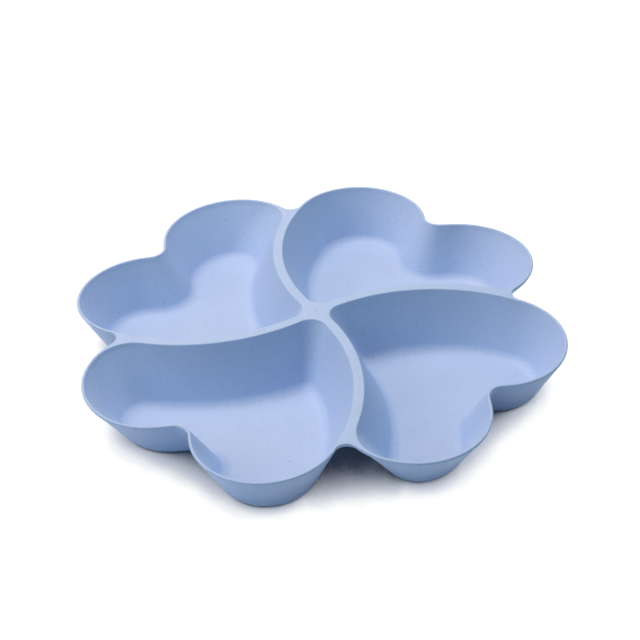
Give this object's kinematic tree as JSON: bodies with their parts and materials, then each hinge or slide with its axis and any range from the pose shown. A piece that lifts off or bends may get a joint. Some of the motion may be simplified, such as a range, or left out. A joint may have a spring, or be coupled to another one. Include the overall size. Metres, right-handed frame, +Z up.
{
  "type": "divided serving tray",
  "caption": "Clover-shaped serving tray: heart-shaped bowls around a hub, parted by bowed dividers under one thin, gently domed rim, standing on flat undersides.",
  "frame": {"origin": "on the table, under the hub where the dividers meet, at the centre of the tray's undersides", "axes": "+Z up; the outer ends of the dividers lie near the X and Y axes, so one bowl fills each quarter; -Y is the side nearest the camera"},
  "size_m": [0.2852, 0.2852, 0.0389],
  "materials": {
    "rim_plastic": "matte powder-blue moulded plastic with sparse fine darker flecks",
    "bowl_plastic": "matte powder-blue moulded plastic with sparse fine darker flecks"
  },
  "bodies": {
    "root": {"rim_frame": "rim_plastic", "bowl_front_right": "bowl_plastic", "bowl_back_right": "bowl_plastic", "bowl_back_left": "bowl_plastic", "bowl_front_left": "bowl_plastic"}
  },
  "joints": []
}
